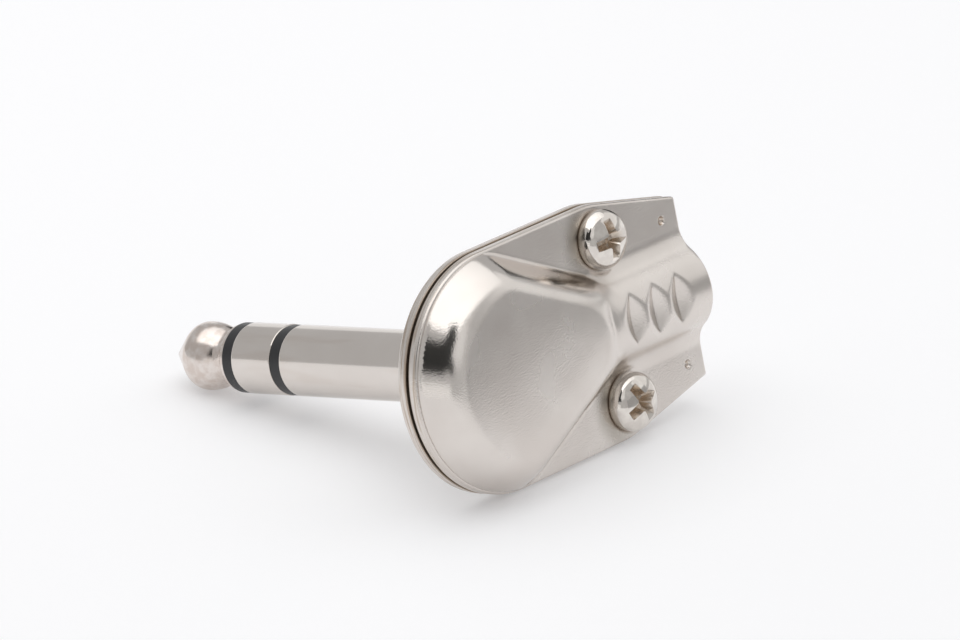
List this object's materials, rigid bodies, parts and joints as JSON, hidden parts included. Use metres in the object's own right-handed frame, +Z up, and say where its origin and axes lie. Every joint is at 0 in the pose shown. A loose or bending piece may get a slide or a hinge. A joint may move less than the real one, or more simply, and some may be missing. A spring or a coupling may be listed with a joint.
{
  "type": "jack plug",
  "caption": "Low-profile right-angle audio jack plug: flat two-part metal housing with a cable channel and screwed cover, and a long barrel with ring and bulb tip.",
  "frame": {"origin": "on the finger's axis, in the shoulder face that meets the jack", "axes": "+X towards the cable exit, +Y forward: the finger points along +Y and dips 12.5 degrees, +Z up from the table"},
  "size_m": [0.0354, 0.0444, 0.0213],
  "materials": {
    "housing_nickel": "satin nickel plate on drawn steel sheet",
    "contact_nickel": "polished nickel plate on turned brass",
    "screw_nickel": "nickel-plated steel",
    "insulator_black": "black moulded insulator",
    "lug_tinned_brass": "tinned brass strip",
    "washer_fibre": "red-brown vulcanised fibre",
    "liner_film": "dark insulating film"
  },
  "bodies": {
    "root": {"tip_contact": "contact_nickel", "front_insulator": "insulator_black", "front_tube": "insulator_black", "ring_contact": "contact_nickel", "rear_insulator": "insulator_black", "rear_tube": "insulator_black", "sleeve": "contact_nickel", "ground_lug": "lug_tinned_brass", "inner_washer": "washer_fibre", "ring_lug": "lug_tinned_brass", "outer_washer": "washer_fibre", "tip_lug": "lug_tinned_brass", "back_plate": "housing_nickel", "cover": "housing_nickel", "cover_liner": "liner_film", "upper_screw": "screw_nickel", "lower_screw": "screw_nickel"}
  },
  "joints": []
}
